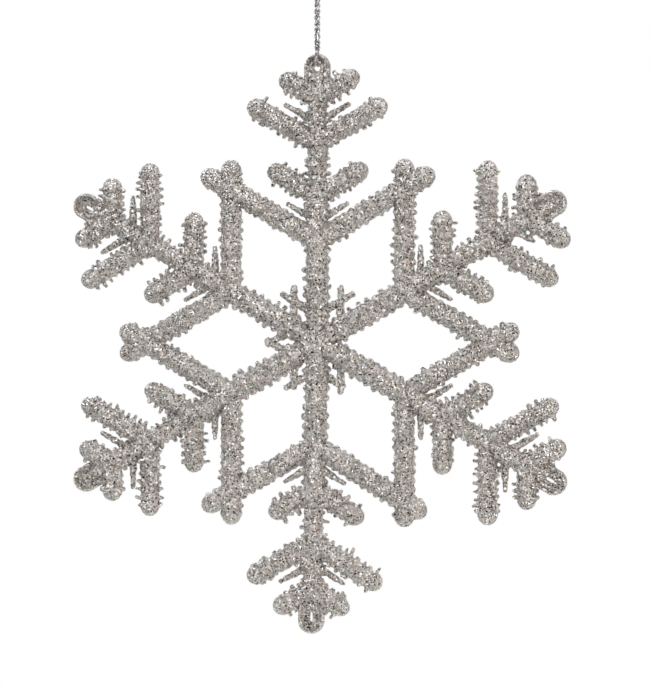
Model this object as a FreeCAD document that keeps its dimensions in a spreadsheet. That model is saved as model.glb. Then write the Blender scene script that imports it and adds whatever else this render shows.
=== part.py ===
import FreeCAD, Part
import Sketcher
import math
import os

# A glittered snowflake ornament on a twisted metallic thread.
#
# The flake lies in the XZ plane and its front faces -Y. +Z is up. The origin is where a hook
# touches the inside of the hang loop at the top of the thread, because that is what holds it up.
# All sizes are in millimetres and include the glitter coat of about 0.3 mm.
#
# Each arm is drawn once, pointing up +Z from the flake's centre, and its pieces are then
# placed six times around Y. A twig leaves its spine parallel to the neighbouring arm.

os.makedirs("parts", exist_ok=True)
doc = FreeCAD.newDocument("snowflake_ornament")

ARMS = ["top", "upper_right", "lower_right", "bottom", "lower_left", "upper_left"]
SECTOR_ANGLE = 360.0 / len(ARMS)
UP = FreeCAD.Vector(0, 0, 1)
AROUND_Y = FreeCAD.Vector(0, 1, 0)
NO_TURN = FreeCAD.Rotation()

# ---------------------------------------------------------------- driving dimensions

DRIVING = [
    ("tip_reach", 75.0, "flake centre to the outer edge of a tip lug"),
    ("bar_radius", 2.8, "spines, twigs and link bars"),
    ("lug_radius", 3.45, "flat lug at each tip, half its width and its round end"),
    ("lug_length", 9.6, "overall, along the arm"),
    ("lug_thickness", 3.6, "front to back"),
    ("lug_bury", 3.2, "how far a spine's round end reaches into its lug"),
    ("eye_diameter", 2.2, "hanging eye in the top lug"),
    ("eye_rim", 2.2, "eye edge to lug edge"),
    ("eye_chamfer", 0.4, "eye edge, where the strand bends over it"),
    ("slot_width", 1.0, "oval recess in the other five lugs"),
    ("slot_length", 2.9, "overall, along the arm"),
    ("slot_rim", 2.7, "recess edge to the lug's outer edge"),
    ("slot_depth", 0.9, "where the recess is blind"),
    ("tip_twig_setback", 11.3, "tip to where the tip twigs leave the spine"),
    ("tip_twig_reach", 8.6, "spine axis to the round end's centre"),
    ("middle_twig_reach", 18.3, "spine axis to the round end's centre"),
    ("inner_twig_reach", 12.3, "spine axis to the round end's centre"),
    ("link_overhang", 5.0, "link crossing to the round end's centre"),
    ("needle_radius", 1.2, "at the spine axis"),
    ("needle_tip_radius", 0.5, "round tip"),
    ("outer_needle_reach", 9.6, "spine axis to the round tip's centre"),
    ("inner_needle_reach", 9.1, "spine axis to the round tip's centre"),
    ("tip_needle_gap", 1.6, "tip twig to outer needle"),
    ("middle_needle_gap", 0.6, "outer needle to middle twig"),
    ("open_gap", 6.3, "middle twig to inner twig"),
    ("inner_needle_gap", 1.7, "inner twig to inner needle"),
    ("link_needle_gap", 0.33, "inner needle to link bar"),
    ("star_needle_radius", 0.95, "small needles of the centre star, at the spine axis"),
    ("star_tip_radius", 0.75, "round tip"),
    ("star_gap", 2.5, "star needle to the next arm's spine"),
    ("star_overhang", 3.3, "star crossing to the round tip's centre"),
    ("star_middle_overhang", 1.7, "the same for the longer ones of the lower sectors"),
    ("star_short_overhang", 0.9, "the same for the shortest, in the lower and left sectors"),
    ("strand_diameter", 0.75, "one strand of the thread"),
    ("strand_clearance", 0.12, "strand to lug, all round"),
    ("strand_arc", 0.8, "bend of the strand over the eye's edge"),
    ("twist_height", 2.3, "lug edge to where the two strands meet"),
    ("strand_lead", 0.6, "straight end of each strand under the twist"),
    ("thread_length", 31.0, "twisted stretch, lug end to knot"),
    ("knot_radius", 1.45, "overhand knot under the loop"),
    ("knot_clearance", 0.1, "knot to the strands on each side of it"),
    ("loop_length", 11.5, "inside top of the hang loop to the knot"),
    ("loop_inner_width", 6.0, "widest, inside"),
]

sizes = doc.addObject("Spreadsheet::Sheet", "Sizes")
for row, (alias, value, note) in enumerate(DRIVING, start=1):
    sizes.set("A%d" % row, alias)
    sizes.set("B%d" % row, str(value))
    sizes.set("C%d" % row, note)
    sizes.setAlias("B%d" % row, alias)
doc.recompute()

# Places that follow from the sizes. Twigs leave at SECTOR_ANGLE, so a clear gap between two
# parallel bars is divided by the sine of that angle to give the step along the spine.
SLANT = math.sin(math.radians(SECTOR_ANGLE))
PLACES = [
    ("lug_middle", "Sizes.tip_reach - Sizes.lug_length / 2"),
    ("slot_middle", "Sizes.tip_reach - Sizes.slot_rim - Sizes.slot_length / 2"),
    ("eye_centre", "Sizes.tip_reach - Sizes.eye_rim - Sizes.eye_diameter / 2"),
    ("strand_seat", "places.eye_centre + Sizes.eye_diameter / 2"
                    " - Sizes.strand_clearance - Sizes.strand_diameter / 2"),
    ("spine_reach", "Sizes.tip_reach - Sizes.lug_length + Sizes.lug_bury - Sizes.bar_radius"),
    ("tip_twig_at", "Sizes.tip_reach - Sizes.tip_twig_setback"),
    ("outer_needle_at", "places.tip_twig_at"
                        " - (Sizes.bar_radius + Sizes.tip_needle_gap + Sizes.needle_radius) / SLANT"),
    ("middle_twig_at", "places.outer_needle_at"
                       " - (Sizes.needle_radius + Sizes.middle_needle_gap + Sizes.bar_radius) / SLANT"),
    ("inner_twig_at", "places.middle_twig_at - (2 * Sizes.bar_radius + Sizes.open_gap) / SLANT"),
    ("inner_needle_at", "places.inner_twig_at"
                        " - (Sizes.bar_radius + Sizes.inner_needle_gap + Sizes.needle_radius) / SLANT"),
    ("link_at", "places.inner_needle_at"
                " - (Sizes.needle_radius + Sizes.link_needle_gap + Sizes.bar_radius) / SLANT"),
    ("link_reach", "places.link_at + Sizes.link_overhang"),
    ("star_at", "(Sizes.bar_radius + Sizes.star_gap + Sizes.star_needle_radius) / SLANT"),
    ("star_reach", "places.star_at + Sizes.star_overhang"),
    ("star_middle_reach", "places.star_at + Sizes.star_middle_overhang"),
    ("star_short_reach", "places.star_at + Sizes.star_short_overhang"),
    ("knot_centre", "-(Sizes.loop_length + Sizes.knot_clearance + Sizes.knot_radius)"),
    ("thread_top", "places.knot_centre - Sizes.knot_radius - Sizes.knot_clearance"),
    ("thread_foot", "places.thread_top - Sizes.thread_length"),
    ("strand_top", "Sizes.tip_reach + Sizes.twist_height - places.strand_seat"),
    ("eye_height", "places.thread_foot - places.strand_top"),
    ("flake_centre", "places.eye_height - places.strand_seat"),
]

places = doc.addObject("App::VarSet", "places")
for name, formula in PLACES:
    places.addProperty("App::PropertyFloat", name, "Places")
    places.setExpression(name, formula.replace("SLANT", repr(SLANT)))
doc.recompute()


def bind(thing, **formulas):
    """Tie properties of a document object to the sheet or the places."""
    for name, formula in formulas.items():
        thing.setExpression(name, formula)


def size(name):
    """A driving dimension as a plain number, for the few shapes made with Part's functions."""
    return float(sizes.get(name))


# ---------------------------------------------------------------- the arm's building blocks

def origin_plane(body, role):
    """One of a body's own origin planes."""
    return [feature for feature in body.Origin.OriginFeatures if feature.Role == role][0]


def attached_sketch(body, name, role):
    sketch = body.newObject("Sketcher::SketchObject", name)
    sketch.AttachmentSupport = [(origin_plane(body, role), "")]
    sketch.MapMode = "FlatFace"
    return sketch


def moulded_bar(name, root_radius, tip_radius, reach, station=None, turn=0.0):
    """A round bar with a round end, revolved about +Z, then set on the spine at a station.

    The profile stands in the YZ plane, so that the bar's seam is off the flake's middle plane,
    where crossing bars are halved.
    """
    body = doc.addObject("PartDesign::Body", name)
    sketch = attached_sketch(body, name + "_profile", "YZ_Plane")
    point = FreeCAD.Vector
    foot = sketch.addGeometry(Part.LineSegment(point(0, 0, 0), point(3, 0, 0)))
    flank = sketch.addGeometry(Part.LineSegment(point(3, 0, 0), point(2, 20, 0)))
    circle = Part.Circle(point(0, 20, 0), UP, 2)
    end = sketch.addGeometry(Part.ArcOfCircle(circle, 0, math.pi / 2))
    axis = sketch.addGeometry(Part.LineSegment(point(0, 22, 0), point(0, 0, 0)))
    joined = [(foot, 1, -1, 1), (foot, 2, flank, 1), (flank, 2, end, 1),
              (end, 2, axis, 1), (axis, 2, -1, 1)]
    for one, one_end, other, other_end in joined:
        sketch.addConstraint(Sketcher.Constraint("Coincident", one, one_end, other, other_end))
    sketch.addConstraint(Sketcher.Constraint("Horizontal", foot))
    sketch.addConstraint(Sketcher.Constraint("Vertical", axis))
    sketch.addConstraint(Sketcher.Constraint("PointOnObject", end, 3, -2))
    sketch.addConstraint(Sketcher.Constraint("Horizontal", end, 3, end, 1))
    root = sketch.addConstraint(Sketcher.Constraint("DistanceX", foot, 1, foot, 2, 3))
    tip = sketch.addConstraint(Sketcher.Constraint("Radius", end, 2))
    length = sketch.addConstraint(Sketcher.Constraint("DistanceY", -1, 1, end, 3, 20))
    sketch.setExpression("Constraints[%d]" % root, root_radius)
    sketch.setExpression("Constraints[%d]" % tip, tip_radius)
    sketch.setExpression("Constraints[%d]" % length, reach)
    turned = body.newObject("PartDesign::Revolution", name + "_turned")
    turned.Profile = sketch
    turned.ReferenceAxis = (sketch, ["V_Axis"])
    turned.Angle = 360
    body.Placement = FreeCAD.Placement(FreeCAD.Vector(), FreeCAD.Rotation(AROUND_Y, turn))
    if station:
        body.setExpression("Placement.Base.z", station)
    return body


def long_outline(body, name, radius, middle, length):
    """A sketch of a long outline with round ends, standing along the arm."""
    sketch = attached_sketch(body, name, "XZ_Plane")
    point = FreeCAD.Vector
    upper = sketch.addGeometry(Part.ArcOfCircle(Part.Circle(point(0, 72, 0), UP, 0.5),
                                                0, math.pi))
    lower = sketch.addGeometry(Part.ArcOfCircle(Part.Circle(point(0, 70, 0), UP, 0.5),
                                                math.pi, 2 * math.pi))
    left = sketch.addGeometry(Part.LineSegment(point(-0.5, 72, 0), point(-0.5, 70, 0)))
    right = sketch.addGeometry(Part.LineSegment(point(0.5, 70, 0), point(0.5, 72, 0)))
    for one, one_end, other, other_end in [(upper, 2, left, 1), (left, 2, lower, 1),
                                           (lower, 2, right, 1), (right, 2, upper, 1)]:
        sketch.addConstraint(Sketcher.Constraint("Tangent", one, one_end, other, other_end))
    sketch.addConstraint(Sketcher.Constraint("Vertical", left))
    sketch.addConstraint(Sketcher.Constraint("PointOnObject", upper, 3, -2))
    sketch.addConstraint(Sketcher.Constraint("PointOnObject", lower, 3, -2))
    round_end = sketch.addConstraint(Sketcher.Constraint("Radius", upper, 0.5))
    over = sketch.addConstraint(Sketcher.Constraint("DistanceY", -1, 1, upper, 3, 72))
    under = sketch.addConstraint(Sketcher.Constraint("DistanceY", -1, 1, lower, 3, 70))
    half_run = "(%s / 2 - %s)" % (length, radius)
    sketch.setExpression("Constraints[%d]" % round_end, radius)
    sketch.setExpression("Constraints[%d]" % over, "%s + %s" % (middle, half_run))
    sketch.setExpression("Constraints[%d]" % under, "%s - %s" % (middle, half_run))
    return sketch


def flat_lug(name):
    """The plain flat lug at the end of an arm, before its eye or recess is cut."""
    body = doc.addObject("PartDesign::Body", name)
    slab = body.newObject("PartDesign::Pad", name + "_slab")
    slab.Profile = long_outline(body, name + "_outline", "Sizes.lug_radius",
                                "places.lug_middle", "Sizes.lug_length")
    slab.SideType = "Symmetric"
    slab.setExpression("Length", "Sizes.lug_thickness")
    body.Tip = slab
    doc.recompute()
    return body


def cut(name, base, tool):
    made = doc.addObject("Part::Cut", name)
    made.Base = base
    made.Tool = tool
    return made


def group(name, members, turn=0.0):
    """Separate solids kept together under one name, turned about Y with the arm."""
    made = doc.addObject("Part::Compound", name)
    made.Links = members
    made.Placement = FreeCAD.Placement(FreeCAD.Vector(), FreeCAD.Rotation(AROUND_Y, turn))
    return made


# ---------------------------------------------------------------- spine and lugs

# A spine runs from the flake's centre, where the six meet on mitred faces, to its lug.
spine_bar = moulded_bar("spine_bar", "Sizes.bar_radius", "Sizes.bar_radius",
                        "places.spine_reach")


def mitre_sector():
    """A wedge of one sixth of the flake, as thick as needed, that mitres the spine's root."""
    body = doc.addObject("PartDesign::Body", "mitre_sector")
    sketch = attached_sketch(body, "mitre_sector_outline", "XZ_Plane")
    lean = math.radians(90 - SECTOR_ANGLE / 2)
    side = FreeCAD.Vector(math.cos(lean), math.sin(lean), 0) * 100
    other = FreeCAD.Vector(-side.x, side.y, 0)
    right = sketch.addGeometry(Part.LineSegment(FreeCAD.Vector(), side))
    top = sketch.addGeometry(Part.LineSegment(side, other))
    left = sketch.addGeometry(Part.LineSegment(other, FreeCAD.Vector()))
    for one, one_end, far, far_end in [(right, 1, -1, 1), (right, 2, top, 1),
                                       (top, 2, left, 1), (left, 2, -1, 1)]:
        sketch.addConstraint(Sketcher.Constraint("Coincident", one, one_end, far, far_end))
    sketch.addConstraint(Sketcher.Constraint("Horizontal", top))
    sketch.addConstraint(Sketcher.Constraint("Angle", -1, 1, right, 1, lean))
    sketch.addConstraint(Sketcher.Constraint("Equal", right, left))
    edge = sketch.addConstraint(Sketcher.Constraint("Distance", right, 100))
    sketch.setExpression("Constraints[%d]" % edge, "2 * Sizes.tip_reach")
    slab = body.newObject("PartDesign::Pad", "mitre_sector_slab")
    slab.Profile = sketch
    slab.SideType = "Symmetric"
    slab.setExpression("Length", "4 * Sizes.bar_radius")
    return body


def lug_with_eye():
    """The top lug: a round eye right through, its edges chamfered where the strand bends."""
    body = flat_lug("lug_with_eye")
    sketch = attached_sketch(body, "eye_outline", "XZ_Plane")
    ring = sketch.addGeometry(Part.Circle(FreeCAD.Vector(0, 71, 0), UP, 1))
    sketch.addConstraint(Sketcher.Constraint("PointOnObject", ring, 3, -2))
    radius = sketch.addConstraint(Sketcher.Constraint("Radius", ring, 1))
    height = sketch.addConstraint(Sketcher.Constraint("DistanceY", -1, 1, ring, 3, 71))
    sketch.setExpression("Constraints[%d]" % radius, "Sizes.eye_diameter / 2")
    sketch.setExpression("Constraints[%d]" % height, "places.eye_centre")
    eye = body.newObject("PartDesign::Pocket", "eye_hole")
    eye.Profile = sketch
    eye.SideType = "Symmetric"
    eye.setExpression("Length", "2 * Sizes.lug_thickness")
    doc.recompute()
    edges = ["Edge%d" % number for number, edge in enumerate(eye.Shape.Edges, start=1)
             if hasattr(edge.Curve, "Radius")
             and abs(edge.Curve.Radius - size("eye_diameter") / 2) < 1e-6]
    bevel = body.newObject("PartDesign::Chamfer", "eye_bevel")
    bevel.Base = (eye, edges)
    bevel.setExpression("Size", "Sizes.eye_chamfer")
    body.Tip = bevel
    return body


def lug_with_recess(name, through):
    """A tip lug with an oval recess along the arm: a slit right through, or blind both sides."""
    body = flat_lug(name)
    whole = body.Tip.Shape.Volume
    sketch = long_outline(body, name + "_oval", "Sizes.slot_width / 2",
                          "places.slot_middle", "Sizes.slot_length")
    if through:
        slit = body.newObject("PartDesign::Pocket", name + "_slit")
        slit.Profile = sketch
        slit.SideType = "Symmetric"
        slit.setExpression("Length", "2 * Sizes.lug_thickness")
    else:
        sketch.setExpression("AttachmentOffset.Base.z", "Sizes.lug_thickness / 2")
        front = body.newObject("PartDesign::Pocket", name + "_front")
        front.Profile = sketch
        front.setExpression("Length", "Sizes.slot_depth")
        doc.recompute()
        slit = body.newObject("PartDesign::Mirrored", name + "_back")
        slit.Originals = [front]
        slit.MirrorPlane = (origin_plane(body, "XZ_Plane"), [""])
    body.Tip = slit
    doc.recompute()
    print("%s: %.2f of %.2f mm3 is left" % (name, body.Shape.Volume, whole))
    return body


eye_lug = lug_with_eye()
slit_lug = lug_with_recess("slit_lug", True)
blind_lug = lug_with_recess("blind_lug", False)
lug_envelope = flat_lug("lug_envelope")
mitred_spine = doc.addObject("Part::Common", "mitred_spine")
mitred_spine.Base = spine_bar
mitred_spine.Tool = mitre_sector()
spine = cut("spine", mitred_spine, lug_envelope)

# ---------------------------------------------------------------- twigs, link bars, needles


def twig(name, side, reach, station):
    """A round twig that leaves the spine towards one side, its root fitted round the spine."""
    bar = moulded_bar(name + "_bar", "Sizes.bar_radius", "Sizes.bar_radius",
                      reach, station, side * SECTOR_ANGLE)
    return cut(name, bar, spine_bar)


def needle(name, side, reach, station, root="Sizes.needle_radius",
           tip="Sizes.needle_tip_radius"):
    bar = moulded_bar(name + "_bar", root, tip, reach, station, side * SECTOR_ANGLE)
    return cut(name, bar, spine_bar)


def pair(name, maker, *sizes_of_bar):
    """The same bar on both sides of the spine: left (-1), then right (+1)."""
    return [maker("%s_left" % name, -1, *sizes_of_bar), maker("%s_right" % name, 1, *sizes_of_bar)]


tip_twigs = [cut(bar.Name + "_at_lug", bar, lug_envelope)
             for bar in pair("tip_twig", twig, "Sizes.tip_twig_reach", "places.tip_twig_at")]
middle_twigs = pair("middle_twig", twig, "Sizes.middle_twig_reach", "places.middle_twig_at")
inner_twigs = pair("inner_twig", twig, "Sizes.inner_twig_reach", "places.inner_twig_at")
needles = (pair("outer_needle", needle, "Sizes.outer_needle_reach", "places.outer_needle_at")
           + pair("inner_needle", needle, "Sizes.inner_needle_reach", "places.inner_needle_at"))

# Where bars of two neighbouring arms cross they are halved into each other: a right-hand bar
# keeps its back half there, and a left-hand bar keeps its front half. The crossing bar is
# parallel to this arm, as far out sideways as its own station is slanted.


def halved(name, maker, side, reach, station, radius, *more):
    """A bar with a half-depth notch, as wide as the bar of the next arm that crosses it."""
    bar = maker(name, side, reach, station, *more)
    notch = doc.addObject("Part::Box", name + "_notch")
    bind(notch, Length="2 * " + radius, Width="2 * " + radius, Height="6 * " + radius)
    notch.setExpression("Placement.Base.x", "%d * %s * %r - %s" % (side, station, SLANT, radius))
    notch.setExpression("Placement.Base.z", "1.5 * %s - 3 * %s" % (station, radius))
    if side > 0:
        notch.setExpression("Placement.Base.y", "-2 * " + radius)
    return cut(name + "_halved", bar, notch)


def halved_pair(name, maker, *sizes_of_bar):
    return [halved("%s_left" % name, maker, -1, *sizes_of_bar),
            halved("%s_right" % name, maker, 1, *sizes_of_bar)]


link_bars = halved_pair("link_bar", twig, "places.link_reach", "places.link_at",
                        "Sizes.bar_radius")


def star_needle(name, side, reach, station):
    return needle(name, side, reach, station, "Sizes.star_needle_radius",
                  "Sizes.star_tip_radius")


star_left, star_right = halved_pair("star_needle", star_needle, "places.star_reach",
                                    "places.star_at", "Sizes.star_needle_radius")
short_left, short_right = halved_pair("short_star_needle", star_needle,
                                      "places.star_short_reach", "places.star_at",
                                      "Sizes.star_needle_radius")
middle_right = halved("middle_star_needle_right", star_needle, 1, "places.star_middle_reach",
                      "places.star_at", "Sizes.star_needle_radius")

# ---------------------------------------------------------------- the six arms

LUGS = {"top": eye_lug, "upper_right": blind_lug, "lower_right": slit_lug,
        "bottom": slit_lug, "lower_left": blind_lug, "upper_left": slit_lug}

# The centre star is not complete: the right-hand sector has no needles, and those of the
# left-hand and the two lower sectors are short.
STAR_NEEDLES = {"top": [star_left, star_right], "upper_right": [star_left],
                "lower_right": [middle_right], "bottom": [short_left, middle_right],
                "lower_left": [short_left, short_right], "upper_left": [short_left, star_right]}

nodes = []


def placed(name, members, arm_number):
    """A node of the flake: copies of an arm's solids, turned to their arm and hung in place."""
    node = group(name, members, arm_number * SECTOR_ANGLE)
    node.setExpression("Placement.Base.z", "places.flake_centre")
    node.Label = name
    nodes.append(node)


for arm_number, arm in enumerate(ARMS):
    placed(arm + "_spine", [spine], arm_number)
    placed(arm + "_lug", [LUGS[arm]], arm_number)
    placed(arm + "_tip_twigs", tip_twigs, arm_number)
    placed(arm + "_middle_twigs", middle_twigs, arm_number)
    placed(arm + "_inner_twigs", inner_twigs, arm_number)
    placed(arm + "_link_bars", link_bars, arm_number)
    placed(arm + "_needles", needles, arm_number)
    placed(arm + "_star_needles", STAR_NEEDLES[arm], arm_number)
doc.recompute()

# ---------------------------------------------------------------- the thread

# The twisted stretch hangs straight, so its envelope is one straight run.
twisted_thread = doc.addObject("Part::Cylinder", "twisted_thread")
bind(twisted_thread, Radius="Sizes.strand_diameter", Height="Sizes.thread_length")
twisted_thread.setExpression("Placement.Base.z", "places.thread_foot")
nodes.append(twisted_thread)

thread_knot = doc.addObject("Part::Sphere", "thread_knot")
bind(thread_knot, Radius="Sizes.knot_radius")
thread_knot.setExpression("Placement.Base.z", "places.knot_centre")
nodes.append(thread_knot)


def strand(name, path, z_offset):
    """One strand of thread swept along a wire of lines and arcs."""
    wire = Part.Wire(path)
    start = wire.OrderedEdges[0]
    direction = start.tangentAt(start.FirstParameter)
    section = Part.Wire([Part.Circle(start.valueAt(start.FirstParameter), direction,
                                     size("strand_diameter") / 2).toShape()])
    tube = wire.makePipeShell([section], True, False)
    expected = math.pi * (size("strand_diameter") / 2) ** 2 * wire.Length
    print("%s: %.2f mm long, %.3f mm3 of %.3f mm3" % (name, wire.Length, tube.Volume, expected))
    node = doc.addObject("Part::Feature", name)
    node.Shape = tube
    node.Placement = FreeCAD.Placement(FreeCAD.Vector(0, 0, z_offset), NO_TURN)
    nodes.append(node)


def rounded_path(points, radii):
    """Straight runs through the points, joined at each inner point by a tangent arc."""
    path = []
    here = points[0]
    for before, corner, after, radius in zip(points, points[1:], points[2:], radii):
        back = (before - corner).normalize()
        ahead = (after - corner).normalize()
        half_angle = back.getAngle(ahead) / 2
        setback = radius / math.tan(half_angle)
        middle = (back + ahead).normalize()
        arc_start = corner + back * setback
        arc_end = corner + ahead * setback
        arc_middle = corner + middle * (radius / math.sin(half_angle) - radius)
        path.append(Part.LineSegment(here, arc_start).toShape())
        path.append(Part.Arc(arc_start, arc_middle, arc_end).toShape())
        print("strand arc: radius %.2f mm" % radius)
        here = arc_end
    path.append(Part.LineSegment(here, points[-1]).toShape())
    return path


def eye_bight():
    """The strand that goes through the eye and up both faces of the lug, in the YZ plane."""
    radius = size("strand_diameter") / 2
    leg = size("lug_thickness") / 2 + size("strand_clearance") + radius
    shoulder = size("tip_reach") - places.strand_seat + radius
    half = [FreeCAD.Vector(0, radius, places.strand_top),
            FreeCAD.Vector(0, radius, places.strand_top - size("strand_lead")),
            FreeCAD.Vector(0, leg, shoulder),
            FreeCAD.Vector(0, leg, 0)]
    mirrored = [FreeCAD.Vector(0, -point.y, point.z) for point in reversed(half)]
    bend = size("strand_arc")
    strand("eye_bight", rounded_path(half + mirrored, [bend] * 6), places.eye_height)


def hang_loop():
    """The closed loop above the knot, in the XZ plane: two legs tangent to a round top."""
    radius = size("strand_diameter") / 2
    bend = size("loop_inner_width") / 2 + radius
    centre = FreeCAD.Vector(0, 0, radius - bend)
    foot = FreeCAD.Vector(radius, 0, -size("loop_length"))
    to_foot = foot - centre
    swing = math.acos(bend / to_foot.Length)
    heading = math.atan2(to_foot.z, to_foot.x) + swing
    touch = centre + FreeCAD.Vector(math.cos(heading), 0, math.sin(heading)) * bend
    top = centre + UP * bend
    left_touch = FreeCAD.Vector(-touch.x, 0, touch.z)
    left_foot = FreeCAD.Vector(-foot.x, 0, foot.z)
    print("loop arc: radius %.2f mm" % bend)
    strand("hang_loop", [Part.LineSegment(foot, touch).toShape(),
                         Part.Arc(touch, top, left_touch).toShape(),
                         Part.LineSegment(left_touch, left_foot).toShape()], 0.0)


eye_bight()
hang_loop()
doc.recompute()

# ---------------------------------------------------------------- check and write the solids

for thing in doc.Objects:
    if "Invalid" in thing.State or "Error" in thing.State:
        raise RuntimeError("%s failed: %s" % (thing.Name, thing.State))

for node in nodes:
    shape = node.Shape
    if shape.isNull() or not shape.isValid() or not shape.Solids:
        raise RuntimeError("%s has no valid solid" % node.Label)
    shape.exportStep("parts/%s.step" % node.Label)

print("nodes: %d" % len(nodes))
print("eye at z = %.3f mm, flake centre at z = %.3f mm" % (places.eye_height, places.flake_centre))
print("knot centre z = %.3f mm, thread from %.3f to %.3f mm"
      % (places.knot_centre, places.thread_top, places.thread_foot))
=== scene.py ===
import math

import bmesh
import bpy
import numpy as np
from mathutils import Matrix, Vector


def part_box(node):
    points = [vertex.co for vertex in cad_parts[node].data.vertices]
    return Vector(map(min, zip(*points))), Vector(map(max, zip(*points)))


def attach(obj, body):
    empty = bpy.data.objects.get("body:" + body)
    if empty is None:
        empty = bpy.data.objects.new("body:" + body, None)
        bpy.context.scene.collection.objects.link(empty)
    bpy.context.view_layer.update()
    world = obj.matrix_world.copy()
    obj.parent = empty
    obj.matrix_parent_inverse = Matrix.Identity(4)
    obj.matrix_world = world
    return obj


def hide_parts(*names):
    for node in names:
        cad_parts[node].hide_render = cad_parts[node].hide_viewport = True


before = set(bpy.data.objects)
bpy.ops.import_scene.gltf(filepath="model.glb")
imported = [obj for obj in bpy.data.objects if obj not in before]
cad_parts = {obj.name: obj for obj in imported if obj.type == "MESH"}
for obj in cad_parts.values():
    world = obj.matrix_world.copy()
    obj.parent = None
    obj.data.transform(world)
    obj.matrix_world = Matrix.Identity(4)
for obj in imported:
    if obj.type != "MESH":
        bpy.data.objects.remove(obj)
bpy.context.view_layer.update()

# ------------------------------------------------------------------ the view
# The ornament hangs turned a little on its thread, so that its right-hand side is the nearer
# one: the level camera stands about twelve degrees round to that side. The flake fills about
# five sixths of the picture's height, and the thread leaves by the top.

MM = 0.001
flake_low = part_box("bottom_lug")[0]
flake_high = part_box("top_lug")[1]
flake_centre = Vector((0.0, 0.0, (flake_low.z + flake_high.z) / 2))
VIEW_HEIGHT = 178.6 * MM
VIEW_TURN = math.radians(11.7)
VIEW_OFFSET = 2.0 * MM
camera_data = bpy.data.cameras.new("camera")
camera_data.lens = 210.0
camera_data.sensor_width = 36.0
camera_distance = VIEW_HEIGHT * camera_data.lens / camera_data.sensor_width
camera_right = Vector((math.cos(VIEW_TURN), math.sin(VIEW_TURN), 0.0))
camera_forward = Vector((-math.sin(VIEW_TURN), math.cos(VIEW_TURN), 0.0))
camera_data.clip_start = 0.05
camera_data.clip_end = 20.0
camera = bpy.data.objects.new("camera", camera_data)
camera.location = (flake_centre + camera_right * VIEW_OFFSET
                   - camera_forward * camera_distance)
camera.rotation_euler = (math.radians(90), 0.0, VIEW_TURN)
bpy.context.scene.collection.objects.link(camera)
bpy.context.scene.camera = camera

# ------------------------------------------------------------------ the thread
# Metallised thread, a plastic film vacuum-coated with aluminium and wound round a fine core.
# One length goes through the eye and its two halves are twisted together up to the knot. The
# twisted stretch hangs straight, so its route is a straight line with two points on the way.

THREAD_ROUTE = [(0, 0, -45.6), (0, 0, -35.0), (0, 0, -25.0), (0, 0, -14.6)]
STRAND_RADIUS = 0.43
TWIST_RADIUS = 0.4
TWIST_PITCH = 3.2
STRAND_SIDES = 18
STRAND_STEP = 0.1
WRAP_RIDGES = 3
WRAP_PITCH = 1.1
WRAP_DEPTH = 0.035
SPLINE_RESOLUTION = 24
# A unit direction with more than this of an axis in it counts as lying along that axis.
NEARLY_ALONG = 0.9


def spline_line(points):
    """Points, in metres, along the smooth NURBS line that control points in millimetres give."""
    data = bpy.data.curves.new("line", "CURVE")
    data.dimensions = "3D"
    data.resolution_u = SPLINE_RESOLUTION
    spline = data.splines.new("NURBS")
    spline.points.add(len(points) - 1)
    for spline_point, point in zip(spline.points, points):
        spline_point.co = (point[0] * MM, point[1] * MM, point[2] * MM, 1.0)
    spline.order_u = 3
    spline.use_endpoint_u = True
    line = bpy.data.objects.new("line", data)
    bpy.context.scene.collection.objects.link(line)
    depsgraph = bpy.context.evaluated_depsgraph_get()
    mesh = bpy.data.meshes.new_from_object(line.evaluated_get(depsgraph))
    found = np.array([vertex.co[:] for vertex in mesh.vertices])
    bpy.data.objects.remove(line)
    bpy.data.meshes.remove(mesh)
    return found


def even_line(points, step):
    """The same line with its points a step apart."""
    along = np.r_[0, np.cumsum(np.linalg.norm(np.diff(points, axis=0), axis=1))]
    wanted = np.linspace(0, along[-1], max(4, round(along[-1] / step)))
    return np.stack([np.interp(wanted, along, points[:, axis]) for axis in range(3)], 1)


def frames_along(points):
    """Two directions square to the line at each point, carried along it without a twist."""
    tangents = np.gradient(points, axis=0)
    tangents /= np.linalg.norm(tangents, axis=1)[:, None]
    start = np.array([1.0, 0, 0])
    if abs(tangents[0, 0]) >= NEARLY_ALONG:
        start = np.array([0, 1.0, 0])
    across = [start - tangents[0] * (start @ tangents[0])]
    for tangent in tangents[1:]:
        carried = across[-1] - tangent * (across[-1] @ tangent)
        across.append(carried / np.linalg.norm(carried))
    across = np.array(across)
    return across, np.cross(tangents, across)


def new_piece(name, vertices, faces):
    """A named piece from its points, in metres, and its faces."""
    mesh = bpy.data.meshes.new(name)
    mesh.from_pydata([tuple(v) for v in vertices], [], faces)
    mesh.update()
    piece = bpy.data.objects.new(name, mesh)
    bpy.context.scene.collection.objects.link(piece)
    return piece


def wound_strand(points, closed=False):
    """One strand along a line: a round tube with the fine spiral ridges of its wound film."""
    points = even_line(points, STRAND_STEP * MM)
    count = len(points) - 1 if closed else len(points)
    across, up = frames_along(points)
    turn = np.linspace(0, 2 * math.pi, STRAND_SIDES, endpoint=False)
    vertices = []
    for index in range(count):
        winding = 2 * math.pi * index * STRAND_STEP / WRAP_PITCH
        ridges = WRAP_DEPTH * np.cos(WRAP_RIDGES * turn - winding)
        radius = (STRAND_RADIUS - WRAP_DEPTH + ridges) * MM
        ring = (np.outer(np.cos(turn) * radius, across[index])
                + np.outer(np.sin(turn) * radius, up[index]))
        vertices.extend(points[index] + ring)
    faces = []
    for index in range(count if closed else count - 1):
        here = index * STRAND_SIDES
        there = (index + 1) % count * STRAND_SIDES
        for side in range(STRAND_SIDES):
            other = (side + 1) % STRAND_SIDES
            faces.append((here + side, here + other, there + other, there + side))
    if not closed:
        faces.append(tuple(range(STRAND_SIDES))[::-1])
        faces.append(tuple(len(vertices) - STRAND_SIDES + side for side in range(STRAND_SIDES)))
    return vertices, faces


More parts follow.
